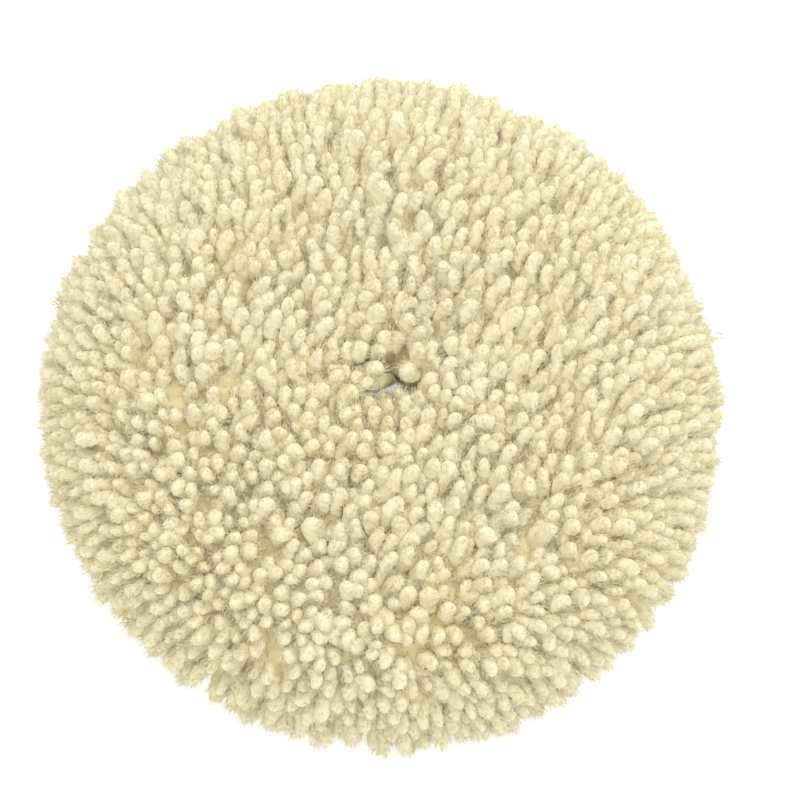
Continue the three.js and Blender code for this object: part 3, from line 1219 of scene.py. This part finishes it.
class WOOLPAD_OT_foam(bpy.types.Operator):
    """Shapes the foam cushion, a thick ring with rounded edges"""

    bl_idname = "woolpad.foam"
    bl_label = "Shape Foam Cushion"

    def execute(self, context):
        backing = context.scene.wool_pad_backing
        room = ring_room("foam_cushion")
        cushion = model_ring("cushion", room, backing.foam_rounding, cuts=FOAM_CUTS)
        waver_edges(cushion, room, backing.waver * FOAM_WAVER, FOAM_WAVER_SIZE)
        stand_for(cushion, "foam_cushion", foam_material(backing))
        return {"FINISHED"}


CANVAS_ROUNDING = 0.3 * MM
CANVAS_CUTS = 4
CANVAS_WAVER, CANVAS_WAVER_SIZE = 0.3, 20 * MM


class WOOLPAD_OT_canvas(bpy.types.Operator):
    """Lays the woven canvas that the rows of wool are sewn through"""

    bl_idname = "woolpad.canvas"
    bl_label = "Lay Canvas"

    def execute(self, context):
        backing = context.scene.wool_pad_backing
        room = ring_room("canvas_backing")
        canvas = model_ring("canvas", room, CANVAS_ROUNDING, cuts=CANVAS_CUTS)
        waver_edges(canvas, room, backing.waver * CANVAS_WAVER, CANVAS_WAVER_SIZE)
        stand_for(canvas, "canvas_backing", canvas_material(backing))
        return {"FINISHED"}


class WOOLPAD_OT_binding(bpy.types.Operator):
    """Winds the overlock stitches round the canvas's rim and round its hole"""

    bl_idname = "woolpad.binding"
    bl_label = "Bind Canvas Edges"

    def execute(self, context):
        backing = context.scene.wool_pad_backing
        points, faces = shape = model_thread()
        around = np.arctan2(points[:, 1], points[:, 0]) / (2 * math.pi)
        cotton = thread_material(backing)
        for node, outward in (("canvas_edge_thread", 1), ("hole_edge_thread", -1)):
            threads = wind_stitches(backing, ring_room(node), shape, outward)
            parts = [(thread, faces, around, points[:, 2]) for thread in threads]
            binding = gather(node.replace("thread", "binding"), parts)
            join_stitches(binding)
            stand_for(binding, node, cotton)
        return {"FINISHED"}


LATEX_ROUNDING, FILM_ROUNDING = 0.25 * MM, 0.12 * MM
LATEX_SWELL, FILM_SWELL = 2.5 * MM, 4 * MM
LATEX_ROUGHNESS, FILM_ROUGHNESS = 0.55, 0.35
GLUE_WAVER_SIZE = 6 * MM


class WOOLPAD_OT_glue(bpy.types.Operator):
    """Spreads the latex on the canvas's back and the two glue films round the foam"""

    bl_idname = "woolpad.glue"
    bl_label = "Spread Latex And Glue Films"

    def execute(self, context):
        backing = context.scene.wool_pad_backing
        latex_tint, film_tint = tuple(backing.latex_colour), tuple(backing.film_colour)
        latex = glue_material("dried_latex", latex_tint, LATEX_ROUGHNESS, LATEX_SWELL)
        film = glue_material("glue_film", film_tint, FILM_ROUGHNESS, FILM_SWELL)
        for node, slot, material, rounding in (
            ("latex_coat", "latex", latex, LATEX_ROUNDING),
            ("canvas_film", "film", film, FILM_ROUNDING),
            ("loop_film", "film", film, FILM_ROUNDING),
        ):
            room = ring_room(node)
            layer = model_ring(node + "_layer", room, rounding)
            waver_edges(layer, room, backing.waver, GLUE_WAVER_SIZE)
            stand_for(layer, node, material)
        return {"FINISHED"}


FLOOR_RADIUS = 4.0
FLOOR_DROP = 0.3 * MM
FLOOR_GLOW = 0.3
WORLD_LIGHT = 1.04
KEY_PLACE, KEY_TARGET = Vector((0.35, 0.75, 0.85)), Vector((0, 0, 0.02))
KEY_SIZE, KEY_POWER = 1.2, 5.6
SENSOR_WIDTH = 36
VIEW_CENTRE = Vector((0.004, 0.0, 0.018))
NEAREST = 0.01
PICTURE_GAMMA = 1.3


def add_to_scene(name, data, place, target):
    """A lamp or camera at a place, turned towards its target."""
    thing = bpy.data.objects.new(name, data)
    bpy.context.collection.objects.link(thing)
    thing.location = place
    thing.rotation_euler = (target - place).to_track_quat("-Z", "Y").to_euler()
    return thing


class WOOLPAD_OT_stage(bpy.types.Operator):
    """Adds the pale floor, soft studio light and camera"""

    bl_idname = "woolpad.stage"
    bl_label = "Set Stage"

    def execute(self, context):
        stage = context.scene.wool_pad_stage
        deselect_everything()
        bpy.ops.mesh.primitive_circle_add(
            vertices=64, radius=FLOOR_RADIUS, fill_type="NGON", location=(0, 0, -FLOOR_DROP)
        )
        floor = context.object
        floor.name = "floor"
        nodes = Nodes("floor_paint")
        nodes.shader.inputs["Base Color"].default_value = (*stage.floor_colour, 1)
        nodes.set(roughness=0.9, emission_strength=FLOOR_GLOW)
        nodes.shader.inputs["Emission Color"].default_value = (*WHITE, 1)
        floor.data.materials.append(nodes.material)
        world = bpy.data.worlds.new("soft_room")
        context.scene.world = world
        world.use_nodes = True
        sky = world.node_tree.nodes["Background"]
        sky.inputs["Color"].default_value = (*WHITE, 1)
        sky.inputs["Strength"].default_value = WORLD_LIGHT
        lamp = bpy.data.lights.new("key", "AREA")
        lamp.size, lamp.energy = KEY_SIZE, KEY_POWER
        add_to_scene("key", lamp, KEY_PLACE, KEY_TARGET)
        lens = bpy.data.cameras.new("camera")
        lens.lens = SENSOR_WIDTH * stage.camera_distance / stage.view_width
        lens.clip_start = NEAREST
        tilt = stage.camera_elevation
        back = Vector((0, -math.cos(tilt), math.sin(tilt)))
        place = VIEW_CENTRE + back * stage.camera_distance
        context.scene.camera = add_to_scene("camera", lens, place, VIEW_CENTRE)
        context.scene.view_settings.view_transform = "Standard"
        context.scene.view_settings.gamma = PICTURE_GAMMA
        return {"FINISHED"}


BACKING_OPERATORS = ("loop_fabric", "foam", "canvas", "binding", "glue")


class WOOLPAD_PT_panel(bpy.types.Panel):
    """Lists the pad's pieces and their sizes"""

    bl_idname = "WOOLPAD_PT_panel"
    bl_label = "Wool Pad"
    bl_space_type = "VIEW_3D"
    bl_region_type = "UI"
    bl_category = "Wool Pad"

    def draw(self, context):
        for group, operators in (
            (context.scene.wool_pad_pile, ("woolpad.pile",)),
            (context.scene.wool_pad_backing, [f"woolpad.{name}" for name in BACKING_OPERATORS]),
            (context.scene.wool_pad_stage, ("woolpad.stage",)),
        ):
            box = self.layout.box()
            for name in group.bl_rna.properties.keys():
                if name not in ("rna_type", "name"):
                    box.prop(group, name)
            for operator in operators:
                box.operator(operator)


CLASSES = (
    WoolPadPile,
    WoolPadBacking,
    WoolPadStage,
    WOOLPAD_OT_pile,
    WOOLPAD_OT_loop_fabric,
    WOOLPAD_OT_foam,
    WOOLPAD_OT_canvas,
    WOOLPAD_OT_binding,
    WOOLPAD_OT_glue,
    WOOLPAD_OT_stage,
    WOOLPAD_PT_panel,
)


def register():
    for each in CLASSES:
        bpy.utils.register_class(each)
    bpy.types.Scene.wool_pad_pile = PointerProperty(type=WoolPadPile)
    bpy.types.Scene.wool_pad_backing = PointerProperty(type=WoolPadBacking)
    bpy.types.Scene.wool_pad_stage = PointerProperty(type=WoolPadStage)


def unregister():
    del bpy.types.Scene.wool_pad_stage
    del bpy.types.Scene.wool_pad_backing
    del bpy.types.Scene.wool_pad_pile
    for each in reversed(CLASSES):
        bpy.utils.unregister_class(each)


def main():
    register()
    bpy.ops.woolpad.stage()
    for name in BACKING_OPERATORS:
        getattr(bpy.ops.woolpad, name)()
    bpy.ops.woolpad.pile()


if __name__ == "__main__":
    main()
